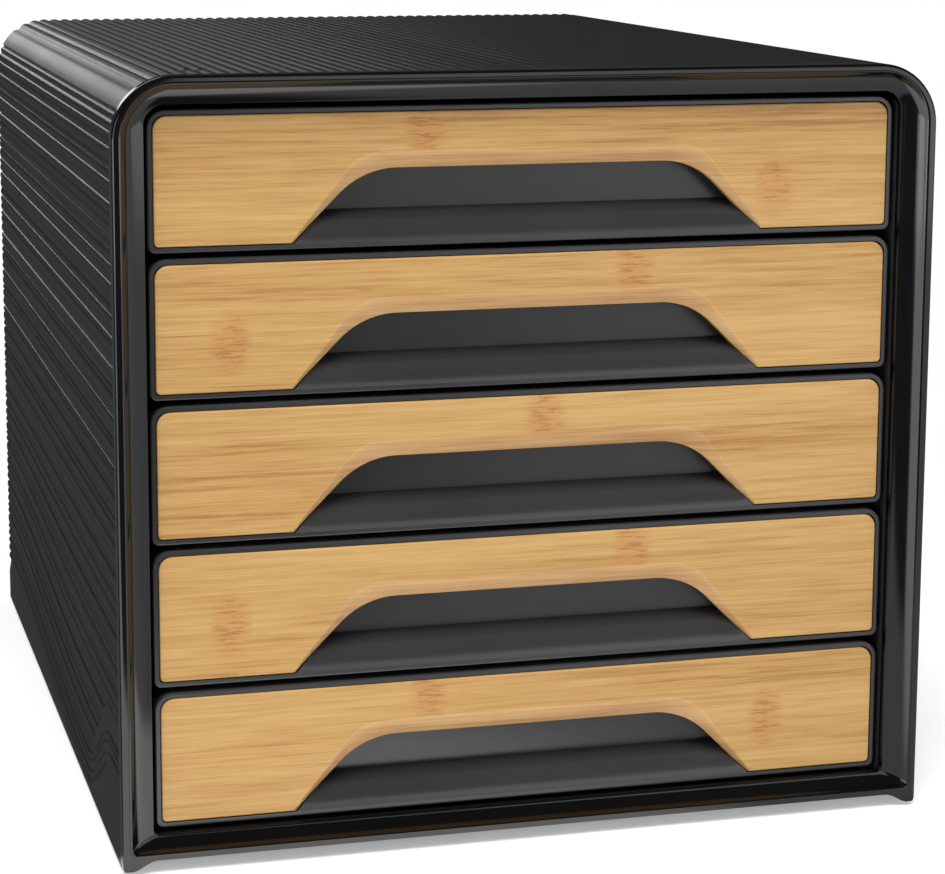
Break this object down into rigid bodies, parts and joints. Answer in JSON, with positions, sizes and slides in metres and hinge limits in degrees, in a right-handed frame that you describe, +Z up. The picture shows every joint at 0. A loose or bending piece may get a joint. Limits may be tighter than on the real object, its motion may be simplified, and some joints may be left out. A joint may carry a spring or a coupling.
{
  "type": "desktop file drawer unit",
  "caption": "Desktop file drawer unit: ribbed black plastic casing with a glossy front frame and stacked sliding trays, each with a bamboo front with a scooped finger cut-out.",
  "frame": {"origin": "under the middle of the casing, level with the soles of the feet", "axes": "X across the front, -Y is the front where the drawers pull out, Z is up"},
  "size_m": [0.286, 0.36, 0.2665],
  "materials": {
    "sleeve_plastic": "ribbed satin",
    "frame_plastic": "polished",
    "panel_plastic": "satin",
    "tray_plastic": "semi-gloss",
    "bamboo": "varnished bamboo",
    "adhesive_pad": "foam",
    "foot_rubber": "matt",
    "screw_steel": "zinc plated"
  },
  "bodies": {
    "casing": {"outer_shell": "sleeve_plastic", "front_frame": "frame_plastic", "back_panel": "panel_plastic", "base_panel": "panel_plastic", "left_runner_panel": "panel_plastic", "right_runner_panel": "panel_plastic", "base_screws": "screw_steel", "foot_front_left": "foot_rubber", "foot_front_right": "foot_rubber", "foot_rear_left": "foot_rubber", "foot_rear_right": "foot_rubber"},
    "drawer_1": {"drawer_front_1": "tray_plastic", "drawer_tray_1": "tray_plastic", "bamboo_front_1": "bamboo", "tape_pads_1": "adhesive_pad"},
    "drawer_2": {"drawer_front_2": "tray_plastic", "drawer_tray_2": "tray_plastic", "bamboo_front_2": "bamboo", "tape_pads_2": "adhesive_pad"},
    "drawer_3": {"drawer_front_3": "tray_plastic", "drawer_tray_3": "tray_plastic", "bamboo_front_3": "bamboo", "tape_pads_3": "adhesive_pad"},
    "drawer_4": {"drawer_front_4": "tray_plastic", "drawer_tray_4": "tray_plastic", "bamboo_front_4": "bamboo", "tape_pads_4": "adhesive_pad"},
    "drawer_5": {"drawer_front_5": "tray_plastic", "drawer_tray_5": "tray_plastic", "bamboo_front_5": "bamboo", "tape_pads_5": "adhesive_pad"}
  },
  "joints": [
    {"name": "drawer_1_slide", "type": "slide", "parent": "casing", "child": "drawer_1", "axis": [0, -1, 0], "range_m": [0, 0.24]},
    {"name": "drawer_2_slide", "type": "slide", "parent": "casing", "child": "drawer_2", "axis": [0, -1, 0], "range_m": [0, 0.24]},
    {"name": "drawer_3_slide", "type": "slide", "parent": "casing", "child": "drawer_3", "axis": [0, -1, 0], "range_m": [0, 0.24]},
    {"name": "drawer_4_slide", "type": "slide", "parent": "casing", "child": "drawer_4", "axis": [0, -1, 0], "range_m": [0, 0.24]},
    {"name": "drawer_5_slide", "type": "slide", "parent": "casing", "child": "drawer_5", "axis": [0, -1, 0], "range_m": [0, 0.24]}
  ]
}
